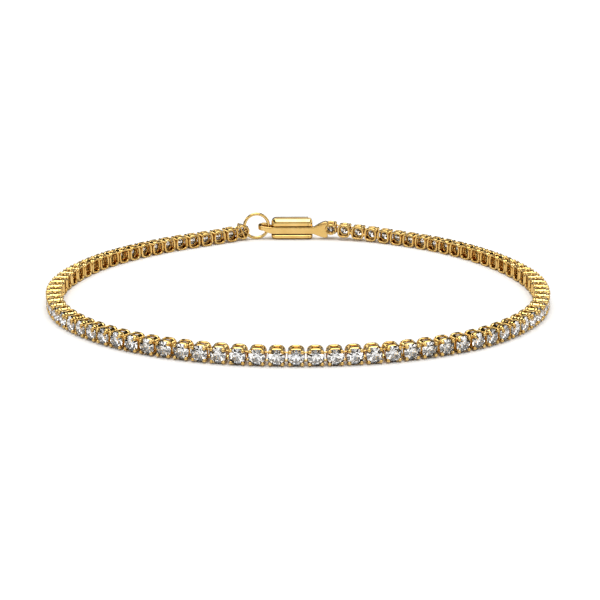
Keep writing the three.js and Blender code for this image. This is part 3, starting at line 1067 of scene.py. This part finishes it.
# %% The floor
# matt white card: an even white that takes soft shadows, with fibre clouds too faint to catch the eye
floor_material, floor_tree = new_material("matt_white_card")
floor_place = add(floor_tree, "ShaderNodeTexCoord")
floor_grain = add(floor_tree, "ShaderNodeTexNoise", {
    "Vector": floor_place.outputs["Object"],
    "Scale": per_mm(6.0),
})
floor_colour = add(floor_tree, "ShaderNodeValToRGB", {"Fac": floor_grain.outputs["Fac"]})
floor_colour.color_ramp.elements[0].color = linear("#EFEEEC")
floor_colour.color_ramp.elements[1].color = linear("#F2F1EF")
floor_shader = add(floor_tree, "ShaderNodeBsdfDiffuse", {"Color": floor_colour.outputs["Color"]})
add(floor_tree, "ShaderNodeOutputMaterial", {"Surface": floor_shader.outputs["BSDF"]})
floor_mesh = bpy.data.meshes.new("floor")
FLOOR_HALF = 2.5  # metres
floor_points = [(FLOOR_HALF * x, FLOOR_HALF * y, 0) for x, y in ((-1, -1), (1, -1), (1, 1), (-1, 1))]
floor_mesh.from_pydata(floor_points, [], [(0, 1, 2, 3)])
floor_mesh.materials.append(floor_material)
floor = bpy.data.objects.new("floor", floor_mesh)
bpy.context.scene.collection.objects.link(floor)
print("The floor in metres:", [2 * FLOOR_HALF, 2 * FLOOR_HALF])

# %% The world: light by direction
world = bpy.data.worlds.new("white_tent")
bpy.context.scene.world = world
world.use_nodes = True
tent = world.node_tree
tent.nodes.clear()
sky_place = add(tent, "ShaderNodeTexCoord")
sky = add(tent, "ShaderNodeSeparateXYZ", {"Vector": sky_place.outputs["Generated"]})
BRIGHTEST = 4.4  # the ramps below are shares of this


def height_ramp(stops):
    """Brightness over the sine of the height above the table."""
    ramp = add(tent, "ShaderNodeValToRGB", {"Fac": sky.outputs["Z"]})
    ramp.color_ramp.interpolation = "EASE"
    for i, (height, brightness) in enumerate(stops):
        stop = ramp.color_ramp.elements[i] if i < 2 else ramp.color_ramp.elements.new(height)
        stop.position = height
        share = brightness / BRIGHTEST
        stop.color = (share, share, share, 1)
    return ramp


camera_side = height_ramp([
    (0.0, 0.05), (1.0, 4.4), (0.04, 0.05), (0.09, 0.4), (0.15, 0.4), (0.20, 0.02), (0.45, 0.02),
    (0.51, 3.0), (0.58, 3.0), (0.64, 0.04), (0.86, 0.04), (0.92, 4.4),
])
backdrop_side = height_ramp([
    (0.0, 0.03), (1.0, 4.4), (0.12, 0.03), (0.18, 0.5), (0.23, 0.7), (0.28, 3.2), (0.36, 3.2),
    (0.42, 0.3), (0.50, 0.03), (0.86, 0.03), (0.92, 4.4),
])
side = add(tent, "ShaderNodeMapRange", {
    "Value": sky.outputs["Y"],
    "From Min": -0.12,
    "From Max": 0.12,
    "To Min": 0.0,
    "To Max": 1.0,
}, interpolation_type="SMOOTHSTEP")
# the mix node has sockets of one name for each data type, so its colour sockets go by number
level = add(tent, "ShaderNodeMix", {
    0: side.outputs["Result"],
    6: camera_side.outputs["Color"],
    7: backdrop_side.outputs["Color"],
}, data_type="RGBA")
tent_light = add(tent, "ShaderNodeBackground", {"Color": level.outputs[2], "Strength": BRIGHTEST})
seen_white = add(tent, "ShaderNodeBackground", {"Color": linear("#FDFDFD"), "Strength": 1.0})
rays = add(tent, "ShaderNodeLightPath")
tent_mix = add(tent, "ShaderNodeMixShader", {
    0: rays.outputs["Is Camera Ray"],
    1: tent_light.outputs["Background"],
    2: seen_white.outputs["Background"],
})
add(tent, "ShaderNodeOutputWorld", {"Surface": tent_mix.outputs["Shader"]})
print("The tent's nodes:", len(tent.nodes))

# %% [markdown]
# ## The camera
# The camera's place was worked out from the photo: 17 degrees above the table and 163 mm away, with a
# lens that takes in the loop and the white round it. It could be aimed with a constraint, but three
# directions written down keep its small roll exact.

# %% The camera
CAMERA_TARGET = Vector((0.294, 0.559, -1.32)) * MM
CAMERA_DISTANCE = 162.61 * MM
ELEVATION = math.radians(16.611)
ROLL = math.radians(-0.174)
back = Vector((0, -math.cos(ELEVATION), math.sin(ELEVATION)))
right = Vector((1, 0, 0))
up = back.cross(right)
turned_right = right * math.cos(ROLL) + up * math.sin(ROLL)
turned_up = up * math.cos(ROLL) - right * math.sin(ROLL)
camera_data = bpy.data.cameras.new("camera")
camera_data.lens = 79.4
camera_data.sensor_width = 36
camera_data.clip_start = 0.005
camera = bpy.data.objects.new("camera", camera_data)
axes = Matrix((turned_right, turned_up, back)).transposed().to_4x4()
camera.matrix_world = Matrix.Translation(CAMERA_TARGET + back * CAMERA_DISTANCE) @ axes
bpy.context.scene.collection.objects.link(camera)
bpy.context.scene.camera = camera
bpy.context.scene.view_settings.view_transform = "Standard"
print("The camera in mm:", [round(value / MM, 1) for value in camera.matrix_world.translation])
